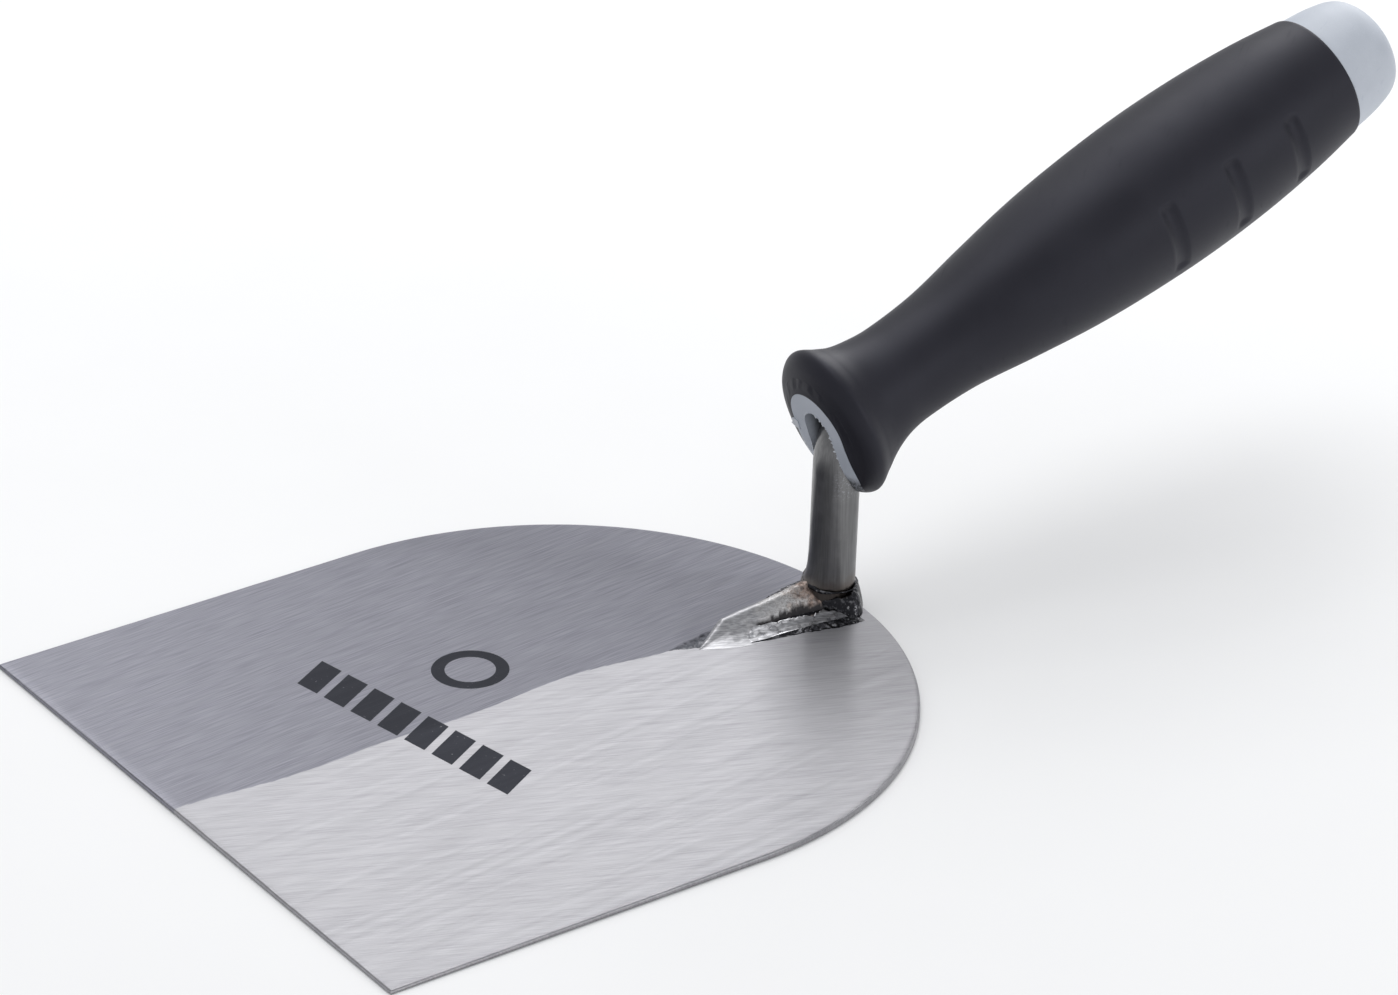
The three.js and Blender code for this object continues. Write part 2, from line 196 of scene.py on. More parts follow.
# Studio: places and sizes in metres
WORLD_TONE = (0.955, 0.97, 1.0, 1.0)
WORLD_STRENGTH = 0.53
LIGHTS = (  # name, place, diameter, power
    ("top", (0.1, 0.25, 1.7), 1.3, 8.8),
    ("right", (0.75, -1.25, 0.45), 0.7, 2.9),
    ("back", (0.2, 1.6, 1.0), 1.2, 1.6),
    ("over", (0.6, 0.85, 1.35), 0.8, 4.5),
    ("side", (1.3, 0.9, 0.8), 1.0, 8.0),
)
LIT_POINT = (0.06, 0.0, 0.03)
FLOOR_HALF = 4.0
FLOOR_GAP = 0.05  # millimetres between the plate and the floor
CAMERA_PLACE = (-0.4963, -0.7500, 0.5098)
CAMERA_RIGHT = (0.81740, -0.57603, 0.01154)
CAMERA_BACK = (-0.51612, -0.72317, 0.45901)
LENS = 140.77


# ---------------------------------------------------------------- numbers

def smoothstep(low, high, value):
    t = np.clip((value - low) / (high - low), 0, 1)
    return t * t * (3 - 2 * t)


def table(rows, column, x):
    """One column of a table of stations, interpolated at x."""
    return np.interp(x, [row[0] for row in rows], [row[column] for row in rows])


def rough(points, size, seed, octaves=3):
    """Fractal noise between about -1 and 1 at each point, with features of this size in millimetres."""
    shift = Vector((seed * 31.7, seed * 17.3, seed * 7.9))
    flat = np.asarray(points, float).reshape(-1, 3) / size
    values = [noise.fractal(Vector(p) + shift, 1.0, 2.0, octaves) for p in flat]
    return np.array(values).reshape(np.shape(points)[:-1])


def spline(pairs, steps):
    """A uniform Catmull-Rom curve through the pairs."""
    p = np.array(pairs, float)
    last = len(p) - 1
    place = np.linspace(0, last, steps + 1)
    i = np.minimum(place.astype(int), last - 1)
    t = (place - i)[:, None]
    a, b, c, d = p[np.maximum(i - 1, 0)], p[i], p[i + 1], p[np.minimum(i + 2, last)]
    out, back = (c - a) / 2, (d - b) / 2
    return (2 * b - 2 * c + out + back) * t**3 + (3 * c - 3 * b - 2 * out - back) * t**2 + out * t + b


def plate_top(x, y):
    fold = np.sqrt((y - RIDGE_Y) ** 2 + RIDGE_SOFT**2) - RIDGE_SOFT
    return RIDGE_FRONT + RIDGE_SLOPE * (x - FRONT_X) - FACET_SLOPE * fold


def grind_line(x):
    """Where the far facet's grain meets the near facet's."""
    return 3.0 + 0.7 * np.sin(x / 17.0 + 0.6) + 0.5 * np.sin(x / 6.5) - 1.6 * smoothstep(15, 36, x)


handle_axis = np.array([math.cos(HANDLE_ANGLE), 0, math.sin(HANDLE_ANGLE)])
handle_up = np.array([-math.sin(HANDLE_ANGLE), 0, math.cos(HANDLE_ANGLE)])
neck_up = np.array([math.sin(NECK_LEAN), 0, math.cos(NECK_LEAN)])
neck_base = np.array([NECK_X, 0, 2.078])
corner = neck_base + neck_up * (CORNER_HEIGHT - neck_base[2]) / neck_up[2]
handle_origin = corner - CORNER_DEPTH * handle_axis


def from_handle(points):
    """Points given along, across and above the handle's axis, in the part's frame."""
    points = np.asarray(points, float)
    across = points[..., 1:2] * np.array([0, 1, 0])
    return handle_origin + points[..., 0:1] * handle_axis + across + points[..., 2:3] * handle_up


# ---------------------------------------------------------------- meshes

def quads(rows, columns, wrap, start=0):
    """Faces of a grid of points, row after row."""
    faces = []
    for i in range(rows - 1):
        for j in range(columns if wrap else columns - 1):
            k = (j + 1) % columns
            faces.append((start + i * columns + j, start + i * columns + k,
                          start + (i + 1) * columns + k, start + (i + 1) * columns + j))
    return faces


def tube(rings, first=None, last=None):
    """A closed body from rings of points; each end closes on one point."""
    rows, columns = rings.shape[:2]
    first = rings[0].mean(0) if first is None else first
    last = rings[-1].mean(0) if last is None else last
    points = np.vstack([rings.reshape(-1, 3), [first], [last]])
    faces = quads(rows, columns, True)
    bottom, top, end = rows * columns, rows * columns + 1, (rows - 1) * columns
    for j in range(columns):
        k = (j + 1) % columns
        faces.append((bottom, k, j))
        faces.append((top, end + j, end + k))
    return points, faces


def hoop(points):
    """A closed body from a grid of points that joins up both along its rows and across them."""
    rows, columns = points.shape[:2]
    faces = quads(rows, columns, True)
    last = (rows - 1) * columns
    for j in range(columns):
        k = (j + 1) % columns
        faces.append((last + j, last + k, k, j))
    return points.reshape(-1, 3), faces


def slab(top, base):
    """A closed body between a grid of top points and a grid of base points below it."""
    rows, columns = top.shape[:2]
    count = rows * columns
    points = np.vstack([top.reshape(-1, 3), base.reshape(-1, 3)])
    faces = quads(rows, columns, False)
    faces += [tuple(reversed(face)) for face in quads(rows, columns, False, count)]
    edge = [i * columns for i in range(rows)]
    edge += [(rows - 1) * columns + j for j in range(1, columns)]
    edge += [i * columns + columns - 1 for i in range(rows - 2, -1, -1)]
    edge += list(range(columns - 2, 0, -1))
    for a, b in zip(edge, edge[1:] + edge[:1]):
        faces.append((b, a, a + count, b + count))
    return points, faces


def new_object(name, points, faces):
    mesh = bpy.data.meshes.new(name)
    mesh.from_pydata((np.asarray(points) * MM).tolist(), [], faces)
    mesh.validate()
    obj = bpy.data.objects.new(name, mesh)
    bpy.context.scene.collection.objects.link(obj)
    return obj


def face_outwards(obj):
    """Turns the faces of a closed mesh outwards."""
    mesh = obj.data
    mesh.calc_loop_triangles()
    count = len(mesh.vertices)
    co = np.zeros(count * 3)
    mesh.vertices.foreach_get("co", co)
    co = co.reshape(-1, 3) - co.reshape(-1, 3).mean(0)
    corners = np.array([t.vertices[:] for t in mesh.loop_triangles])
    a, b, c = (co[corners[:, k]] for k in range(3))
    if np.einsum("ij,ij->i", a, np.cross(b, c)).sum() < 0:
        mesh.flip_normals()


def cut(obj, cutter, operation="DIFFERENCE"):
    """Applies a boolean with cutter, which is then removed."""
    face_outwards(obj)
    face_outwards(cutter)
    modifier = obj.modifiers.new("cut", "BOOLEAN")
    modifier.operation = operation
    modifier.solver = "MANIFOLD"
    modifier.object = cutter
    bpy.context.view_layer.update()
    evaluated = obj.evaluated_get(bpy.context.evaluated_depsgraph_get())
    result = bpy.data.meshes.new_from_object(evaluated)
    obj.modifiers.clear()
    obj.data = result
    bpy.data.objects.remove(cutter)
    return obj


def finish_piece(obj, material, nodes, sharp=35):
    """Smooth shading with sharp corners kept, the finish, and the CAD nodes the piece stands for."""
    face_outwards(obj)
    obj.data.name = obj.name
    obj.data.shade_smooth()
    obj.data.set_sharp_from_angle(angle=math.radians(sharp))
    obj.data.materials.clear()
    obj.data.materials.append(material)
    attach(obj, "root")
    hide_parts(*nodes)
    return obj


def paint(obj, name, values):
    attribute = obj.data.attributes.new(name, "FLOAT", "POINT")
    attribute.data.foreach_set("value", np.asarray(values, np.float32))


# ---------------------------------------------------------------- material nodes

class Look:
    """A material's nodes, with short calls for those used here. Sizes are in millimetres."""

    def __init__(self, name, metallic, roughness, **sockets):
        self.material = bpy.data.materials.new(name)
        self.material.use_nodes = True
        self.tree = self.material.node_tree
        self.shader = self.tree.nodes["Principled BSDF"]
        self.shader.inputs["Metallic"].default_value = metallic
        self.shader.inputs["Roughness"].default_value = roughness
        for socket, value in sockets.items():
            self.shader.inputs[socket.replace("_", " ")].default_value = value
        self.place = self.node("ShaderNodeTexCoord").outputs["Object"]

    def node(self, kind, inputs=None, **settings):
        made = self.tree.nodes.new(kind)
        for key, value in settings.items():
            setattr(made, key, value)
        for key, value in (inputs or {}).items():
            if isinstance(value, bpy.types.NodeSocket):
                self.tree.links.new(value, made.inputs[key])
            else:
                made.inputs[key].default_value = value
        return made

    def noise(self, size, detail=3, vector=None, distortion=0.0):
        inputs = {"Vector": vector or self.place, "Detail": detail, "Distortion": distortion}
        inputs["Scale"] = 1.0 if vector else 1 / (size * MM)
        return self.node("ShaderNodeTexNoise", inputs).outputs["Fac"]

    def frame(self, origin, angle, lengths):
        """Coordinates turned about Z and measured in units of the three lengths."""
        return self.node("ShaderNodeMapping", {
            "Vector": self.place,
            "Location": [v * MM for v in origin],
            "Rotation": (0, 0, angle),
            "Scale": [v * MM for v in lengths],
        }, vector_type="TEXTURE").outputs["Vector"]

    def axes(self, vector):
        split = self.node("ShaderNodeSeparateXYZ", {"Vector": vector})
        return [split.outputs[k] for k in "XYZ"]

    def grade(self, value, low, high, out_low=0.0, out_high=1.0, kind="SMOOTHSTEP"):
        return self.node("ShaderNodeMapRange", {
            "Value": value, "From Min": low, "From Max": high, "To Min": out_low, "To Max": out_high,
        }, interpolation_type=kind).outputs["Result"]

    def sums(self, operation, a, b=0.0, c=0.0):
        return self.node("ShaderNodeMath", {0: a, 1: b, 2: c}, operation=operation).outputs[0]

    def along(self, way, origin):
        """How far a point is from origin along a unit vector, in millimetres."""
        inputs = {0: self.place, 1: way.tolist()}
        dot = self.node("ShaderNodeVectorMath", inputs, operation="DOT_PRODUCT").outputs["Value"]
        return self.sums("MULTIPLY_ADD", dot, 1 / MM, -float(origin @ way))

    def distance(self, origin):
        """How far a point is from the upright line through origin, in millimetres."""
        x, y, _ = self.axes(self.frame(origin, 0.0, (1, 1, 1)))
        return self.sums("SQRT", self.sums("MULTIPLY_ADD", x, x, self.sums("MULTIPLY", y, y)))

    def mix(self, factor, a, b):
        made = self.node("ShaderNodeMix", {"Factor": factor}, data_type="RGBA")
        for key, value in ((6, a), (7, b)):
            if isinstance(value, bpy.types.NodeSocket):
                self.tree.links.new(value, made.inputs[key])
            else:
                made.inputs[key].default_value = (*value, 1.0)
        return made.outputs[2]

    def painted(self, name):
        return self.node("ShaderNodeAttribute", attribute_name=name).outputs["Fac"]

    def bump(self, height, distance, under=None):
        inputs = {"Height": height, "Distance": distance * MM}
        if under:
            inputs["Normal"] = under
        return self.node("ShaderNodeBump", inputs).outputs["Normal"]

    def done(self, **sockets):
        for socket, value in sockets.items():
            self.tree.links.new(value, self.shader.inputs[socket.replace("_", " ")])
        return self.material


def plain_print(look):
    """A generic dark print in the plate's middle: one row of slanted blocks and one plain ring."""
    u, v, _ = look.axes(look.frame(ROW_PLACE, ROW_TURN, (1, 1, 1)))
    slanted = look.sums("MULTIPLY_ADD", v, BLOCK_SLANT, u)
    inside = look.sums("LESS_THAN", look.sums("ABSOLUTE", v), ROW_HALF_HEIGHT)
    reach = look.sums("LESS_THAN", look.sums("ABSOLUTE", slanted), ROW_HALF_LENGTH)
    step = look.sums("FLOORED_MODULO", slanted, BLOCK_PITCH)
    filled = look.sums("LESS_THAN", step, BLOCK_WIDTH)
    blocks = look.sums("MULTIPLY", look.sums("MULTIPLY", inside, reach), filled)
    off_ring = look.sums("SUBTRACT", look.distance(RING_PLACE), RING_RADIUS)
    ring = look.sums("LESS_THAN", look.sums("ABSOLUTE", off_ring), RING_HALF_WIDTH)
    worn = look.grade(look.noise(0.7, 4), 0.22, 0.34, 0.5, 1.0)
    return look.sums("MULTIPLY", look.sums("MAXIMUM", blocks, ring), worn)


def plate_look():
    look = Look("ground_plate", 1.0, 0.5, Anisotropic=1.0)
    ends = look.noise(1, 2, look.frame((0, 0, 0), FAR_GRAIN, (5, 0.3, 5)))
    frayed = look.grade(ends, 0.3, 0.7, 0.3, 0.7)
    near = look.grade(look.sums("SUBTRACT", look.painted("near"), frayed), -0.12, 0.12)
    far_fine = look.noise(1, 3, look.frame((0, 0, 0), FAR_GRAIN, (9, 0.24, 9)))
    far_broad = look.noise(1, 2, look.frame((0, 0, 0), FAR_GRAIN, (34, 1.5, 34)))
    near_fine = look.noise(1, 3, look.frame((0, 0, 0), NEAR_GRAIN, (8, 0.2, 8)))
    near_broad = look.noise(1, 2, look.frame((0, 0, 0), NEAR_GRAIN, (30, 1.8, 30)))
    # Each facet's tones carry its real grinding streaks; the far facet's are set darker than the near
    # facet's, a painted shade.
    far_shaded_tone = look.mix(look.grade(far_fine, 0.32, 0.7), *FAR_SHADED_TONES[:2])
    far_shaded_tone = look.mix(look.grade(far_broad, 0.35, 0.65, 0, 0.3), far_shaded_tone, FAR_SHADED_TONES[2])
    near_lit_tone = look.mix(look.grade(near_fine, 0.3, 0.7), *NEAR_LIT_TONES[:2])
    near_lit_tone = look.mix(look.grade(near_broad, 0.35, 0.65, 0, 0.3), near_lit_tone, NEAR_LIT_TONES[2])
    along, _, _ = look.axes(look.place)
    # The near facet darkens towards the heel: a painted reflection of the dark handle.
    heel = look.grade(along, *HANDLE_REFLECTION_FADE, 0, 0.22)
    near_lit_tone = look.mix(heel, near_lit_tone, HANDLE_REFLECTION_TONE)
    tone = look.mix(near, far_shaded_tone, near_lit_tone)
    patchy = look.grade(look.noise(0.7, 4), 0.2, 0.6, 0.6, 1.0)
    crust = look.sums("MULTIPLY", look.painted("crust"), patchy)
    tone = look.mix(crust, tone, HOLLOW_TONE)
    printed = plain_print(look)
    tone = look.mix(printed, tone, PRINT_TONE)
    height = look.mix(near, far_fine, near_fine)
    normal = look.bump(height, 0.022)
    normal = look.bump(look.sums("MULTIPLY", look.noise(0.5, 4), crust), 0.25, normal)
    roughness = look.grade(far_broad, 0.3, 0.7, 0.43, 0.49, "LINEAR")
    roughness = look.sums("MULTIPLY_ADD", printed, 0.1, roughness)
    across = look.node("ShaderNodeTangent", direction_type="UV_MAP", uv_map=GRAIN_MAP)
    return look.done(Base_Color=tone, Roughness=roughness, Normal=normal, Tangent=across.outputs[0])


def shoe_look():
    look = Look("forged_shoe", 1.0, 0.4)
    patches = look.grade(look.noise(2.2, 4), 0.2, 0.8, -6, 6, "LINEAR")
    away = look.sums("ADD", patches, look.distance((NECK_X, 0, 0)))
    hot = look.grade(away, 5.0, 12.5, 1.0, 0.0)
    grind = look.noise(1, 3, look.frame((0, 0, 0), NEAR_GRAIN, (4, 0.25, 0.25)))
    tone = look.mix(look.grade(grind, 0.3, 0.7), *SHOE_TONES)
    pits = look.grade(look.noise(0.3, 4), 0.36, 0.56, 1.0, 0.0)
    dull = look.grade(away, 8, 23, 0.8, 0.0)
    tone = look.mix(look.sums("MULTIPLY", dull, 0.7), tone, SCALE_TONE)
    pitted = look.sums("MULTIPLY", pits, look.sums("MULTIPLY", dull, 0.8))
    tone = look.mix(pitted, tone, PIT_TONE)
    brown = look.mix(look.grade(look.noise(0.8, 3), 0.35, 0.65), *HEAT_TONES)
    tone = look.mix(look.sums("MULTIPLY", hot, 0.85), tone, brown)
    tone = look.mix(look.painted("crust"), tone, CRACK_TONE)
    height = look.sums("MULTIPLY_ADD", look.noise(0.5, 4), dull, look.sums("MULTIPLY", grind, 0.15))
    roughness = look.grade(away, 8, 28, 0.55, 0.4, "LINEAR")
    return look.done(Base_Color=tone, Roughness=roughness, Normal=look.bump(height, 0.09))


def weld_look(name, bright):
    look = Look(name, 1.0, 0.36)
    grind = look.noise(1, 3, look.frame((0, 0, 0), NEAR_GRAIN, (5, 0.22, 0.22)))
    ground = look.mix(look.grade(grind, 0.3, 0.68), *WELD_TONES)
    slag = look.mix(look.grade(look.noise(0.9, 4), 0.5, 0.72), *SLAG_TONES)
    slag = look.mix(look.grade(look.noise(0.6, 4), 0.64, 0.72, 0, 0.6), slag, SPATTER_TONE)
    if bright:
        spots = look.grade(look.noise(0.7, 4), 0.3, 0.42, 1.0, 0.0)
        dirty = look.sums("MAXIMUM", look.painted("crust"), look.sums("MULTIPLY", spots, 0.15))
        tone = look.mix(dirty, ground, slag)
    else:
        tone = look.mix(look.grade(look.noise(2.6, 3), 0.62, 0.7, 0, 0.5), slag, ground)
    normal = look.bump(look.noise(0.9, 3), 0.03 if bright else 0.1)
    roughness = look.grade(look.noise(1.4, 2), 0.3, 0.7, 0.24, 0.42, "LINEAR")
    return look.done(Base_Color=tone, Roughness=roughness, Normal=normal)


def rod_look():
    look = Look("dark_rod", 1.0, 0.36)
    _, y, z = look.axes(look.frame((0, 0, 0), 0.0, (1, 1, 1)))
    drawn = look.noise(1, 3, look.frame((0, 0, 0), 0.0, (0.35, 0.35, 11)))
    mottle = look.noise(2.4, 4)
    tone = look.mix(look.grade(drawn, 0.3, 0.7), *ROD_TONES)
    tone = look.mix(look.grade(mottle, 0.5, 0.75, 0, 0.3), tone, ROD_WORN_TONE)
    low = look.sums("MULTIPLY_ADD", mottle, 4.0, z)
    tone = look.mix(look.grade(low, 8.0, 12.5, 0.55, 0.0), tone, ROD_HEAT_TONE)
    side = look.grade(y, -4.6, -2.6, 1.0, 0.0)
    band = look.grade(look.sums("ABSOLUTE", look.sums("SUBTRACT", z, 29.5)), 1.0, 5.0, 1.0, 0.0)
    dust = look.grade(look.noise(0.35, 4), 0.52, 0.64, 0, 0.55)
    dust = look.sums("MULTIPLY", dust, look.sums("MULTIPLY", side, band))
    tone = look.mix(dust, tone, DUST_TONE)
    roughness = look.grade(mottle, 0.3, 0.7, 0.28, 0.36, "LINEAR")
    normal = look.bump(look.sums("ADD", drawn, look.noise(0.9, 3)), 0.012)
    return look.done(Base_Color=tone, Roughness=roughness, Normal=normal)


def plastic_look():
    look = Look("grey_plastic", 0.0, 0.48, Specular_IOR_Level=0.4)
    fine = look.noise(0.35, 3)
    cloud = look.noise(9, 3)
    tone = look.mix(look.grade(cloud, 0.3, 0.7), *PLASTIC_TONES)
    tone = look.mix(look.grade(fine, 0.55, 0.75, 0, 0.25), tone, PLASTIC_SPECK_TONE)
    scuffs = look.noise(1, 4, look.frame((0, 0, 0), 0.4, (5, 0.5, 2)))
    tone = look.mix(look.grade(scuffs, 0.64, 0.74, 0, 0.35), tone, PLASTIC_SCUFF_TONE)
    behind = look.along(handle_axis, handle_origin)
    above = look.along(handle_up, handle_origin)
    torn = look.grade(behind, -0.2, -0.02, 1.0, 0.0)
    tone = look.mix(torn, tone, FLASH_TONE)
    low = look.grade(above, -12, -8.5, 1.0, 0.0)
    specks = look.grade(look.noise(0.4, 4), 0.4, 0.56, 0.45, 1.0)
    tone = look.mix(look.sums("MULTIPLY", low, specks), tone, SMEAR_TONE)
    # Painted shade: the plastic darkens from just behind the front face down into the slot and cavity.
    deep = look.grade(behind, 0.4, 3.4)
    in_slot = look.grade(behind, 14, 16, 1.0, 0.0)
    shade = look.sums("MULTIPLY", look.sums("MULTIPLY", deep, in_slot), 0.93)
    tone = look.mix(shade, tone, SLOT_SHADE_TONE)
    roughness = look.grade(cloud, 0.3, 0.7, 0.42, 0.54, "LINEAR")
    return look.done(Base_Color=tone, Roughness=roughness, Normal=look.bump(fine, 0.02))


def rubber_look():
    look = Look("black_rubber", 0.0, 0.5, Specular_IOR_Level=0.34, Specular_Tint=(0.84, 0.85, 1.0, 1.0))
    grain = look.noise(0.22, 2)
    cloud = look.noise(14, 4)
    tone = look.mix(look.grade(cloud, 0.3, 0.7), *RUBBER_TONES)
    lint = look.grade(look.noise(0.5, 2), 0.76, 0.82, 0, 0.25)
    tone = look.mix(lint, tone, LINT_TONE)
    scuffs = look.noise(1, 4, look.frame((0, 0, 0), 0.7, (7, 0.8, 3)))
    roughness = look.sums("ADD", look.grade(cloud, 0.3, 0.7, 0.44, 0.54, "LINEAR"),
                          look.grade(scuffs, 0.6, 0.75, 0, 0.06))
    normal = look.bump(grain, 0.014, look.bump(cloud, 0.06))
    return look.done(Base_Color=tone, Roughness=roughness, Normal=normal)


def floor_look():
    look = Look("pale_floor", 0.0, 0.9, Specular_IOR_Level=0.1)
    tone = look.mix(look.noise(40, 2), *FLOOR_TONES)
    return look.done(Base_Color=tone)


# ---------------------------------------------------------------- plate

def spread(*parts):
    """Stations from (start, end, count) parts that follow on from each other."""
    pieces = [np.linspace(start, end, count, endpoint=False) for start, end, count in parts]
    return np.append(np.concatenate(pieces), parts[-1][1])


def half_width(x, inset):
    reach = HALF_WIDTH - inset
    return np.where(x <= HEEL_CENTRE_X, reach,
                    np.sqrt(np.maximum(reach**2 - (x - HEEL_CENTRE_X) ** 2, 0)))


def hollow_depth(x, y):
    """How far the unground hollow goes down, with a ragged edge."""
    corners = np.array(HOLLOW)
    inside = np.full(np.shape(x), 1e9)
    middle = corners.mean(0)
    for a, b in zip(corners, np.roll(corners, -1, 0)):
        along = (b - a) / np.linalg.norm(b - a)
        away = (x - a[0]) * along[1] - (y - a[1]) * along[0]
        sign = np.sign((middle[0] - a[0]) * along[1] - (middle[1] - a[1]) * along[0])
        inside = np.minimum(inside, away * sign)
    points = np.stack([x, y, 0 * x], -1)
    ragged = inside + 0.35 * rough(points, 1.1, 3)
    return smoothstep(-0.1, 0.35, ragged) * (1 + 0.5 * rough(points, 0.8, 5))


def map_grain(obj):
    """A map whose first axis runs across each facet's grinding grain, for the brushed gloss."""
    mesh = obj.data
    layer = mesh.uv_layers.new(name=GRAIN_MAP)
    for face in mesh.polygons:
        x, y, _ = face.center / MM
        grain = NEAR_GRAIN if y < grind_line(x) else FAR_GRAIN
        across = Vector((-math.sin(grain), math.cos(grain), 0))
        along = Vector((math.cos(grain), math.sin(grain), 0))
        for loop in face.loop_indices:
            co = mesh.vertices[mesh.loops[loop].vertex_index].co
            layer.data[loop].uv = (co.dot(across) / GRAIN_TILE + 0.5, co.dot(along) / GRAIN_TILE + 0.5)


def plate_plan():
    """Plan of the plate's top, inside its rounded edge."""
    inner = HALF_WIDTH - EDGE_INSET
    x = spread(*PLATE_ROWS)
    turn = np.arcsin((x[-1] - HEEL_CENTRE_X) / inner)
    x = np.append(x, HEEL_CENTRE_X + inner * np.sin(np.linspace(turn, math.pi / 2, HEEL_ROWS)[1:-1]))
    t = spread(*PLATE_COLUMNS)
    return np.repeat(x[:, None], len(t), 1), half_width(x, EDGE_INSET)[:, None] * t


def outwards(loop, front_count):
    """The way out of the plate's outline at each point of its loop, which starts along the front."""
    outward = loop[:, :2] - [HEEL_CENTRE_X, 0]
    straight = loop[:, 0] < HEEL_CENTRE_X
    outward[straight] = np.stack([0 * loop[straight, 1], np.sign(loop[straight, 1])], -1)
    outward[:front_count] = [-1, 0]
    outward /= np.linalg.norm(outward, axis=1)[:, None]
    outward[0], outward[front_count - 1] = (-0.9, -0.9), (-0.9, 0.9)
    return outward


def edge_rings(loop, outward):
    """The plate's edge, ring by ring, from its top down to the flat underside."""
    nick = 0.05 * rough(loop, 2.2, 8)
    rim_top = loop[:, 2]
    shapes = (
        (0.2, rim_top - 0.03), (0.36, rim_top - 0.14 + nick), (EDGE_INSET, rim_top - 0.34 + nick),
        (EDGE_INSET, 0 * rim_top + 0.22), (0.3, 0 * rim_top + 0.05), (0.12, 0 * rim_top),
    )
    return [np.column_stack([loop[:, :2] + outward * reach, height]) for reach, height in shapes]


def plate_mesh(top):
    """Points and faces of the plate under a grid of top points."""
    rows, columns = top.shape[:2]
    heel = HEEL_CENTRE_X + (HALF_WIDTH - EDGE_INSET)
    points = [top.reshape(-1, 3), np.array([[heel, 0, plate_top(heel, 0.0)]])]
    tip, last = rows * columns, (rows - 1) * columns
    faces = quads(rows, columns, False)
    faces += [(last + j, last + j + 1, tip) for j in range(columns - 1)]
    edge = list(range(columns))
    edge += [i * columns + columns - 1 for i in range(1, rows)] + [tip]
    edge += [i * columns for i in range(rows - 1, 0, -1)]
    loop = np.vstack(points)[edge]
    following = [(k + 1) % len(edge) for k in range(len(edge))]
    previous, start = edge, tip + 1
    for ring_points in edge_rings(loop, outwards(loop, columns)):
        points.append(ring_points)
        ring = list(range(start, start + len(edge)))
        faces += [(previous[m], previous[k], ring[k], ring[m]) for k, m in enumerate(following)]
        previous, start = ring, start + len(edge)
    points.append([UNDERSIDE_MIDDLE])
    faces += [(previous[m], previous[k], start) for k, m in enumerate(following)]
    return np.vstack(points), faces


def plate_piece():
    x, y = plate_plan()
    depth = hollow_depth(x, y)
    obj = new_object("plate", *plate_mesh(np.stack([x, y, plate_top(x, y) - HOLLOW_DEPTH * depth], -1)))
    map_grain(obj)
    crust = np.zeros(len(obj.data.vertices))
    crust[: x.size] = np.clip(depth.reshape(-1), 0, 1)
    paint(obj, "crust", crust)
    co = np.array([v.co for v in obj.data.vertices]) / MM
    paint(obj, "near", smoothstep(0.5, -0.5, co[:, 1] - grind_line(co[:, 0])))
    return finish_piece(obj, plate_look(), ["blade"], 25)


# ---------------------------------------------------------------- foot

def section(across, profile):
    return np.interp(across, [row[0] for row in profile], [row[1] for row in profile])


def shoe_height(x, y):
    """The shoe's height above the plate at a point of its plan."""
    crest, high = table(SHOE_STATIONS, 2, x), table(SHOE_STATIONS, 4, x)
    left, right = table(SHOE_STATIONS, 1, x), table(SHOE_STATIONS, 3, x)
    near = section((crest - y) / (crest - right), NEAR_SECTION)
    far = section((y - crest) / (left - crest), FAR_SECTION)
    return high * np.where(y < crest, near, far)


def strip_edges(x, side):
    """A weld strip's inner and outer edge, and the outside of its crust."""
    inner, outer = table(STRIP_STATIONS, 1, x), table(STRIP_STATIONS, 2, x)
    beside_rod = ROD_RADIUS**2 - (x - NECK_X) ** 2
    inner = np.minimum(inner, -np.sqrt(np.maximum(beside_rod, 0)) - 0.1 * (beside_rod > 0))
    if side > 0:
        inner = -inner + 1.2 * smoothstep(50, 56, x)
        outer = -outer
    return inner, outer, outer + side * table(STRIP_STATIONS, 3, x)


def groove_by(x, distance, seed):
    """The ragged dark groove between the shoe and a strip: 1 in its middle, 0 outside it."""
    line = np.stack([x, 0 * x, 0 * x], -1)
    width = 0.35 + 0.85 * smoothstep(51, 61, x) * (1 + 0.9 * rough(line, 1.4, seed))
    start = smoothstep(50.5, 53.5, x + 1.2 * rough(line, 2.3, seed + 1))
    return start * smoothstep(1.0, 0.4, np.abs(distance) / np.maximum(width, 0.08))


def cylinder(radius, start, direction, length, name, sides=96):
    """A plain round cutter from start along direction."""
    direction = np.asarray(direction, float)
    side = np.array([0, 1.0, 0])
    up = np.cross(direction, side)
    angle = np.linspace(0, 2 * math.pi, sides, endpoint=False)[:, None]
    ring = radius * (np.cos(angle) * side + np.sin(angle) * up)
    return new_object(name, *tube(np.stack([ring + start, ring + start + direction * length])))


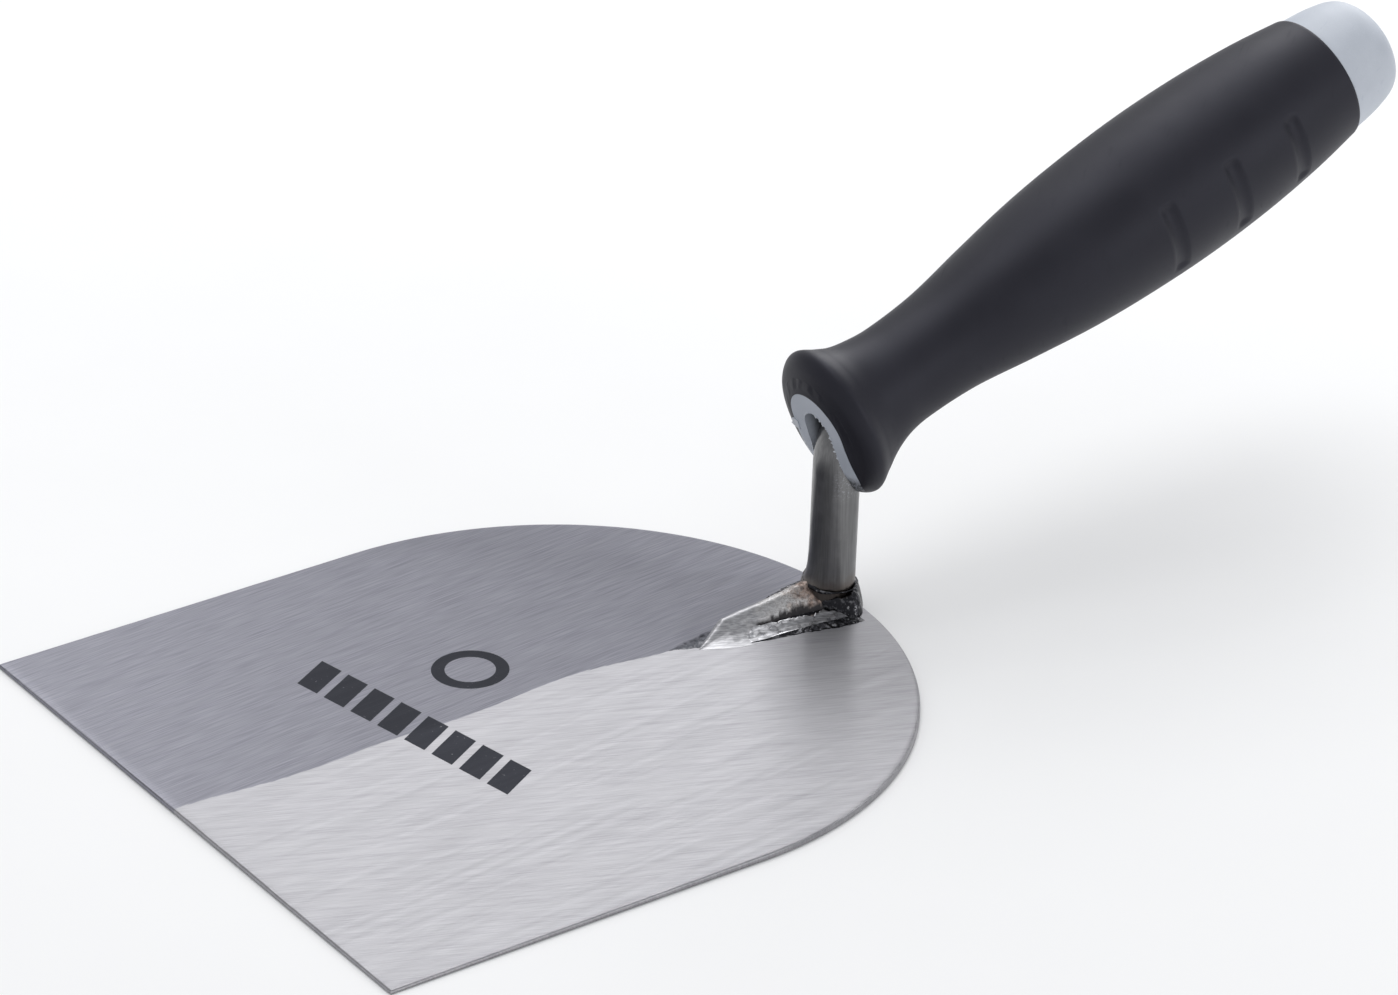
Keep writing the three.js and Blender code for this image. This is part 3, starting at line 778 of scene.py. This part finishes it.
def shoe_piece():
    x = spread((38.6, 46, 40), (46, 70, 120))
    t = np.sin(np.linspace(-1, 1, 72) * math.pi / 2)
    left, crest, right = (table(SHOE_STATIONS, k, x)[:, None] for k in (1, 2, 3))
    y = np.where(t < 0, crest + (crest - right) * t, crest + (left - crest) * t)
    grid_x = np.repeat(x[:, None], len(t), 1)
    height = shoe_height(grid_x, y)
    points = np.stack([grid_x, y, height], -1)
    near_rod = smoothstep(24, 4, np.abs(grid_x - NECK_X))
    bumps = (0.04 + 0.12 * near_rod) * rough(points, 1.7, 11, 4)
    bumps += 0.06 * rough(points * [0.3, 1, 1], 1.2, 12)
    inner_right, inner_left = strip_edges(grid_x, -1)[0], strip_edges(grid_x, 1)[0]
    groove = np.maximum(groove_by(grid_x, y - inner_right, 21), groove_by(grid_x, y - inner_left, 23))
    fade = smoothstep(0.0, 0.5, height)
    height = np.maximum(height + fade * bumps - 0.8 * groove, 0.03)
    base = plate_top(grid_x, y)
    obj = new_object("shoe", *slab(np.stack([grid_x, y, base + height], -1),
                                   np.stack([grid_x, y, base - 0.04], -1)))
    paint(obj, "crust", np.append(smoothstep(0, 0.4, groove).reshape(-1), 0 * groove.reshape(-1)))
    cut(obj, cylinder(ROD_RADIUS + 0.05, neck_base - 4 * neck_up, neck_up, 20, "rod_cutter"))
    return finish_piece(obj, shoe_look(), ["tang_foot"])


def strip_piece(name, side, node, material, seed):
    x = np.linspace(STRIP_START, STRIP_END, 190)[:, None]
    across = np.linspace(0, 1, 40)
    inner, outer, rim = strip_edges(x, side)
    edge_noise = rough(np.stack([x, 0 * x, 0 * x], -1), 1.3, seed)
    rim = rim + side * 0.3 * edge_noise * smoothstep(49, 58, x)
    on_ground = across <= GROUND_SHARE
    ground_y = inner + (outer - inner) * across / GROUND_SHARE
    crust_y = outer + (rim - outer) * (across - GROUND_SHARE) / (1 - GROUND_SHARE)
    y = np.where(on_ground, ground_y, crust_y)
    grid_x = np.repeat(x, len(across), 1)
    mirrored = y if side < 0 else -y
    lean = shoe_height(grid_x, np.maximum(mirrored, table(SHOE_STATIONS, 3, grid_x)))
    risen = smoothstep(48.5, 56, grid_x)
    level = np.clip(lean, 0.02 + 0.23 * risen, 2.4) + 0.02 + 0.1 * risen
    v = np.minimum(across / GROUND_SHARE, 1.0)
    height = level + 0.18 * risen * np.sin(math.pi * v)
    points = np.stack([grid_x, y, height], -1)
    height += 0.03 * rough(points, 1.8, seed + 2, 3) + 0.03 * rough(points * [0.2, 1, 1], 0.8, seed + 3)
    down = np.clip((across - GROUND_SHARE) / (1 - GROUND_SHARE), 0, 1)
    crust = smoothstep(0.0, 0.06, down + 0.05 * edge_noise * (down > 0))
    groove = groove_by(grid_x, y - inner, seed + 5)
    wide = smoothstep(0.3, 1.6, np.abs(rim - outer))
    wall = height * (1 - smoothstep(0.02, 0.8, down)) + 0.12
    crags = 0.42 * wide * rough(points, 1.0, seed + 4, 4)
    crags *= smoothstep(0, 0.2, down) * smoothstep(1, 0.8, down)
    height = np.where(on_ground, height, np.maximum(wall + crags, 0.08)) - 0.7 * groove
    ends = smoothstep(STRIP_START, STRIP_START + 0.4, grid_x)
    ends *= smoothstep(STRIP_END, STRIP_END - 1.2, grid_x)
    height = np.maximum(height * ends, 0.02)
    base = plate_top(grid_x, y)
    obj = new_object(name, *slab(np.stack([grid_x, y, base + height], -1),
                                 np.stack([grid_x, y, base - 0.02], -1)))
    crust = np.maximum(crust, smoothstep(0, 0.4, groove))
    paint(obj, "crust", np.append(crust.reshape(-1), crust.reshape(-1)))
    return finish_piece(obj, material, [node])


def heel_piece(material):
    """The weld metal round the rod's foot, highest behind it, with a lump on the right."""
    angle = np.linspace(-math.pi, math.pi, 220, endpoint=False)[:, None]
    share = np.linspace(0, 1, 30)
    line = np.stack([np.cos(angle), np.sin(angle), 0 * angle], -1)
    lump = np.exp(-(((angle + math.radians(86)) / math.radians(24)) ** 2))
    behind = smoothstep(-0.9, 0.6, np.cos(angle))
    reach = 0.6 + 1.0 * behind + 2.4 * lump + 0.35 * rough(line, 0.45, 41)
    high = 2.6 + 2.4 * behind + 0.5 * rough(line, 0.6, 43) - 1.2 * lump
    radius = ROD_RADIUS + 0.04 + np.maximum(reach, 0.4) * share
    x, y = NECK_X + radius * np.cos(angle), radius * np.sin(angle)
    height = high * (1 - share**1.6) ** 0.7 + 1.2 * lump * np.sin(math.pi * share)
    points = np.stack([x, y, height], -1)
    bumps = 0.3 * rough(points, 2.4, 45, 2) + (0.12 + 0.3 * lump) * rough(points, 1.1, 47, 2)
    height = np.maximum(height + bumps * smoothstep(0, 0.1, share) * smoothstep(1, 0.8, share), 0.04)
    base = plate_top(x, y)
    top = np.stack([x, y, base + height], -1)
    under = np.stack([x, y, base - 0.02], -1)[:, ::-1]
    obj = new_object("heel_collar", *hoop(np.concatenate([top, under], 1)))
    return finish_piece(obj, material, ["heel_weld"])


def ring_piece(material):
    """The uneven bead of weld round the rod, above the shoe."""
    angle = np.linspace(0, 2 * math.pi, 180, endpoint=False)[:, None]
    turn = np.linspace(0, 2 * math.pi, 18, endpoint=False)
    line = np.stack([np.cos(angle), np.sin(angle), 0 * angle], -1)
    front = smoothstep(0.2, -0.8, np.cos(angle + 0.5))
    size = 0.16 + 0.3 * front + 0.06 * rough(line, 0.4, 51)
    out = ROD_RADIUS + 0.3 + size * (0.8 + np.cos(turn))
    out = np.maximum(out, ROD_RADIUS + 0.02)
    middle = BEAD_HEIGHT + 0.5 * front + 0.7 * np.sin(angle) * front + 0.25 * rough(line, 0.6, 53)
    z = middle + 1.1 * size * np.sin(turn)
    x = NECK_X + math.tan(NECK_LEAN) * z + out * np.cos(angle)
    points = np.stack([x, out * np.sin(angle), z], -1)
    points[..., 2] += 0.07 * rough(points, 1.4, 55, 2)
    obj = new_object("neck_ring", *hoop(points))
    return finish_piece(obj, material, ["neck_weld"])


# ---------------------------------------------------------------- rod

def rod_line():
    """Points of the rod's middle line with its direction and radius."""
    bend = math.acos(float(neck_up @ handle_axis))
    reach = BEND_RADIUS * math.tan(bend / 2)
    bend_start = corner - neck_up * reach
    low = neck_base - 0.25 * neck_up
    length = float(np.linalg.norm(bend_start - low))
    rows = [(low + neck_up * s, neck_up, ROD_RADIUS) for s in np.linspace(0, length, 80)]
    turn_axis = np.cross(neck_up, [0, 1, 0])
    centre = bend_start - turn_axis * BEND_RADIUS * np.sign(turn_axis @ -handle_axis)
    inward = (centre - bend_start) / BEND_RADIUS
    for a in np.linspace(0, bend, 26)[1:]:
        point = centre - BEND_RADIUS * (math.cos(a) * inward - math.sin(a) * neck_up)
        rows.append((point, math.cos(a) * neck_up + math.sin(a) * inward, ROD_RADIUS))
    step = CORNER_DEPTH + reach + 8
    stations = [(step - 0.4, ROD_RADIUS), (step, TANG_RADIUS + 0.3), (step + 0.2, TANG_RADIUS)]
    barbs_end = TANG_END - 2 * TANG_RADIUS
    for i in range(BARB_COUNT, 0, -1):
        s = barbs_end - i * BARB_PITCH
        stations += [(s, TANG_RADIUS), (s + 0.6, TANG_RADIUS - BARB_DEPTH)]
    stations += [(barbs_end, TANG_RADIUS), (TANG_END, 0.6)]
    for s, radius in stations:
        rows.append((handle_origin + handle_axis * s, handle_axis, radius))
    return rows


def rod_cutter(name):
    """The rod, a hair thicker, to clear its way through the moulded handle."""
    angle = np.linspace(0, 2 * math.pi, 64, endpoint=False)[:, None]
    side = np.array([0, 1.0, 0])
    rings = []
    for point, way, radius in rod_line():
        out = np.cos(angle) * side + np.sin(angle) * np.cross(side, way)
        rings.append(point + (radius + ROD_CLEARANCE) * out)
    return new_object(name, *tube(np.array(rings)))


def rod_piece():
    angle = np.linspace(0, 2 * math.pi, 72, endpoint=False)[:, None]
    side = np.array([0, 1.0, 0])
    rings = []
    for point, direction, radius in rod_line():
        up = np.cross(side, direction)
        out = np.cos(angle) * side + np.sin(angle) * up
        left_front = smoothstep(-0.2, 0.9, out @ np.array([-0.62, 0.78, 0]))[:, None]
        flare = 1.35 * math.exp(-max(point[2] - 6.4, 0) / 2.0) * left_front
        rings.append(point + out * (radius + flare))
    rings = np.array(rings)
    dents = 0.035 * rough(rings, 3.5, 61)
    middle = rings.mean(1, keepdims=True)
    rings = middle + (rings - middle) * (1 + dents[..., None] / ROD_RADIUS)
    obj = new_object("neck_rod", *tube(rings))
    return finish_piece(obj, rod_look(), ["tang_neck"])


# ---------------------------------------------------------------- handle

def shape_lip(points):
    lip = 1 - smoothstep(*LIP_FADE, points[..., 0])
    points[..., 2] = points[..., 2] * (1 + LIP_OVAL * lip) - LIP_DROP * lip
    return points


def lathe(outline, sides, first, last):
    """Rings about the handle's axis, with the stations that its two ends close on."""
    outline = np.asarray(outline, float)
    angle = np.linspace(0, 2 * math.pi, sides, endpoint=False)
    x = np.repeat(outline[:, :1], sides, 1)
    rings = np.stack([x, outline[:, 1:] * np.cos(angle), outline[:, 1:] * np.sin(angle)], -1)
    return rings, (first, 0, 0), (last, 0, 0)


def handle_object(name, rings, first, last, lip=False):
    points, faces = tube(rings, first, last)
    if lip:
        points = shape_lip(points)
    return new_object(name, from_handle(points), faces)


def press_grooves(rings):
    """Presses the short finger grooves into both flanks."""
    radius = np.linalg.norm(rings[..., 1:], axis=-1)
    flank = np.degrees(np.arctan2(rings[..., 2], np.abs(rings[..., 1])))
    depth = np.zeros(radius.shape)
    for station in GROOVES:
        along = np.clip(1 - ((rings[..., 0] - station) / GROOVE_HALF_WIDTH) ** 2, 0, 1)
        around = np.clip(1 - ((flank + GROOVE_DIP) / GROOVE_HALF_ANGLE) ** 2, 0, 1)
        depth += GROOVE_DEPTH * along**0.8 * smoothstep(0, 0.28, around)
    rings[..., 1:] *= ((radius - depth) / radius)[..., None]
    return rings


def mould_marks(rings):
    """Faint upright ripples that moulding left on the front face."""
    outside_rim = smoothstep(8.3, 9.2, np.hypot(rings[..., 1], rings[..., 2]))
    face = smoothstep(4.2, 2.5, rings[..., 0]) * outside_rim
    above = smoothstep(-1, 4, rings[..., 2])
    near_face = rings[:FACE_RINGS]
    ripples = rough(near_face * [0.3, 0.9, 0.4], 2.2, 31)
    near_face[..., 0] += 0.14 * (face * above)[:FACE_RINGS] * ripples
    return rings


def envelope(name, sides=160):
    """The sleeve's outside, solid."""
    outline = np.vstack([spline(FACE_OUTLINE + SLEEVE_OUTLINE, 480), SEAM_ROUND])
    outline[1:, 1] -= INSIDE
    rings, first, last = lathe(outline, sides, 0.0, SEAM)
    return handle_object(name, mould_marks(press_grooves(rings)), first, last, lip=True)


def core_cutter(name, clearance):
    outline = [(s, r + clearance) for s, r in spline(CORE_OUTLINE, 60)]
    front = [(s, MOUTH_RADIUS + clearance) for s in (-1.0, MOUTH_DEPTH - 0.01)]
    back = [(SEAM + 1, CORE_END_RADIUS + clearance)]
    rings, first, last = lathe(front + outline + back, 128, -1.0, SEAM + 1)
    return handle_object(name, rings, first, last)


def leg_block(name, clearance):
    """The rim's two legs and the slot between them, narrower towards the lip's lower edge."""
    outline = [(z, half + clearance) for z, half in LEG_OUTLINE]
    loop = [(half, z) for z, half in outline] + [(-half, z) for z, half in reversed(outline)]
    rings = np.array([[(s, y, z) for y, z in loop] for s in (-3.0, RIM_DEPTH + clearance)], float)
    return handle_object(name, rings, None, None)


def slot_cutter(name):
    """The arched slot for the rod, with a slightly ragged edge where it was trimmed by hand."""
    stations = np.linspace(-4, SLOT_DEPTH, 60)
    angle = np.linspace(0, math.pi, 60)
    arch_half = SLOT_LEGS[-1][1]
    arch = np.stack([arch_half * np.cos(angle), SLOT_ARCH_Z + SLOT_ARCH_RISE * np.sin(angle)], -1)
    leg = np.linspace(SLOT_ARCH_Z, -24, 80)[1:]
    half = table(SLOT_LEGS, 1, leg)
    right = np.stack([half, leg], -1)[::-1]
    left = np.stack([-half, leg], -1)
    outline = np.vstack([right, arch, left])
    rings = np.array([np.column_stack([np.full(len(outline), s), outline]) for s in stations])
    below = np.minimum(rings[..., 2] - SLOT_ARCH_Z, 0)
    limit = CORNER_DEPTH + below * math.tan(HANDLE_ANGLE - NECK_LEAN)
    deep = np.where(below < 0, limit, SLOT_DEPTH)
    rings[..., 0] = np.minimum(rings[..., 0], deep)
    ragged = 0.14 * rough(rings * [0.4, 1, 1], 1.3, 71, 5)
    middle = np.array([0, SLOT_ARCH_Z])
    out = rings[..., 1:] - middle
    out[..., 1] = np.maximum(out[..., 1], 0)
    out /= np.maximum(np.linalg.norm(out, axis=-1, keepdims=True), 1e-6)
    rings[..., 1:] += out * ragged[..., None]
    return handle_object(name, rings, None, None)


def face_station(y, z):
    """How far behind the handle's front plane the front face lies."""
    face = spline(FACE_OUTLINE + SLEEVE_OUTLINE[:2], 60)
    radius = np.hypot(y, (z + LIP_DROP) / (1 + LIP_OVAL))
    return np.interp(radius, face[:, 1], face[:, 0]) * (np.hypot(y, z) > MOUTH_RADIUS)


def flash_fin():
    """The thin torn flash that moulding left along the slot's edge."""
    turn = np.linspace(0.15, math.pi - 0.15, 170)
    arch_half = SLOT_LEGS[-1][1]
    y = arch_half * np.cos(turn)
    z = SLOT_ARCH_Z + SLOT_ARCH_RISE * np.sin(turn)
    leg_z = np.linspace(-8.5, SLOT_ARCH_Z, 110)
    y = np.concatenate([table(SLOT_LEGS, 1, leg_z), y, -table(SLOT_LEGS, 1, leg_z[::-1])])
    z = np.concatenate([leg_z, z, leg_z[::-1]])
    line = np.stack([0 * y, y, z], -1)
    torn = np.maximum(0.8 * rough(line, 0.7, 73, 5) + 0.12, 0) + 0.02
    inward = np.stack([0 * y, -y, SLOT_ARCH_Z - np.maximum(z, SLOT_ARCH_Z)], -1)
    inward /= np.linalg.norm(inward, axis=1)[:, None]
    station = face_station(y, z)
    root = line + np.stack([station, 0 * y, 0 * y], -1) - 0.35 * inward
    lip = root + (0.35 + 0.55 * torn)[:, None] * inward - np.stack([0.45 * torn, 0 * y, 0 * y], -1)
    thick = np.array([0.3, 0, 0])
    rings = np.stack([root + thick, root - 0.06 * thick, lip, lip + 0.5 * thick], 1)
    return handle_object("flash", rings, None, None)


def flash_tab():
    """The torn scrap of flash at the left edge of the rim."""
    rings = np.array([[(s, y, z) for y, z in TAB_CORNERS] for s in (-0.14, 0.06)])
    return handle_object("flash_tab", rings, None, None)


def core_piece():
    butt = spline(BUTT_OUTLINE, 60)[:-1]
    butt[:, 1] -= INSIDE
    front = [(0.02, MOUTH_RADIUS), (MOUTH_DEPTH - 0.1, MOUTH_RADIUS)]
    back = [(SEAM - 0.02, CORE_END_RADIUS)]
    outline = np.vstack([front, spline(CORE_OUTLINE, 60), back, butt])
    rings, first, last = lathe(outline, 144, 0.0, HANDLE_LENGTH)
    obj = handle_object("core", rings, first, last)
    legs = cut(leg_block("legs", 0), envelope("legs_envelope"), "INTERSECT")
    cut(obj, legs, "UNION")
    cut(obj, slot_cutter("slot_cutter"))
    cut(obj, rod_cutter("rod_cutter"))
    cut(obj, flash_fin(), "UNION")
    cut(obj, flash_tab(), "UNION")
    return finish_piece(obj, plastic_look(), ["handle_core"], 40)


def sleeve_piece():
    obj = envelope("sleeve", 192)
    cut(obj, core_cutter("core_cutter", HAIRLINE))
    cut(obj, leg_block("legs_cutter", HAIRLINE))
    cut(obj, slot_cutter("slot_cutter"))
    return finish_piece(obj, rubber_look(), ["grip_sleeve"], 40)


# ---------------------------------------------------------------- scene

def area_light(name, place, size, power):
    data = bpy.data.lights.new(name, "AREA")
    data.shape = "DISK"
    data.size = size
    data.energy = power
    obj = bpy.data.objects.new(name, data)
    obj.location = place
    aim = Vector(LIT_POINT) - Vector(place)
    obj.rotation_euler = aim.to_track_quat("-Z", "Y").to_euler()
    bpy.context.scene.collection.objects.link(obj)


def stage():
    corners = np.array([(-1, -1, 0), (1, -1, 0), (1, 1, 0), (-1, 1, 0)]) * FLOOR_HALF / MM
    floor = new_object("floor", corners - [0, 0, FLOOR_GAP], [(0, 1, 2, 3)])
    floor.data.materials.append(floor_look())
    world = bpy.data.worlds.new("studio")
    bpy.context.scene.world = world
    world.use_nodes = True
    background = world.node_tree.nodes["Background"]
    background.inputs["Color"].default_value = WORLD_TONE
    background.inputs["Strength"].default_value = WORLD_STRENGTH
    for light in LIGHTS:
        area_light(*light)


def camera():
    data = bpy.data.cameras.new("camera")
    data.lens = LENS
    data.sensor_width = 36
    data.sensor_fit = "HORIZONTAL"
    data.clip_start = 0.01
    obj = bpy.data.objects.new("camera", data)
    right = Vector(CAMERA_RIGHT).normalized()
    back = Vector(CAMERA_BACK).normalized()
    up = back.cross(right).normalized()
    right = up.cross(back)
    turn = Matrix((right, up, back)).transposed().to_4x4()
    obj.matrix_world = Matrix.Translation(Vector(CAMERA_PLACE)) @ turn
    bpy.context.scene.collection.objects.link(obj)
    bpy.context.scene.camera = obj
    bpy.context.scene.view_settings.view_transform = "Standard"


camera()
stage()
weld = weld_look("dark_weld", False)
ground_weld = weld_look("ground_weld", True)
plate_piece()
shoe_piece()
strip_piece("weld_strip_right", -1, "foot_weld_right", ground_weld, 81)
strip_piece("weld_strip_left", 1, "foot_weld_left", ground_weld, 91)
heel_piece(weld)
ring_piece(weld)
rod_piece()
core_piece()
sleeve_piece()
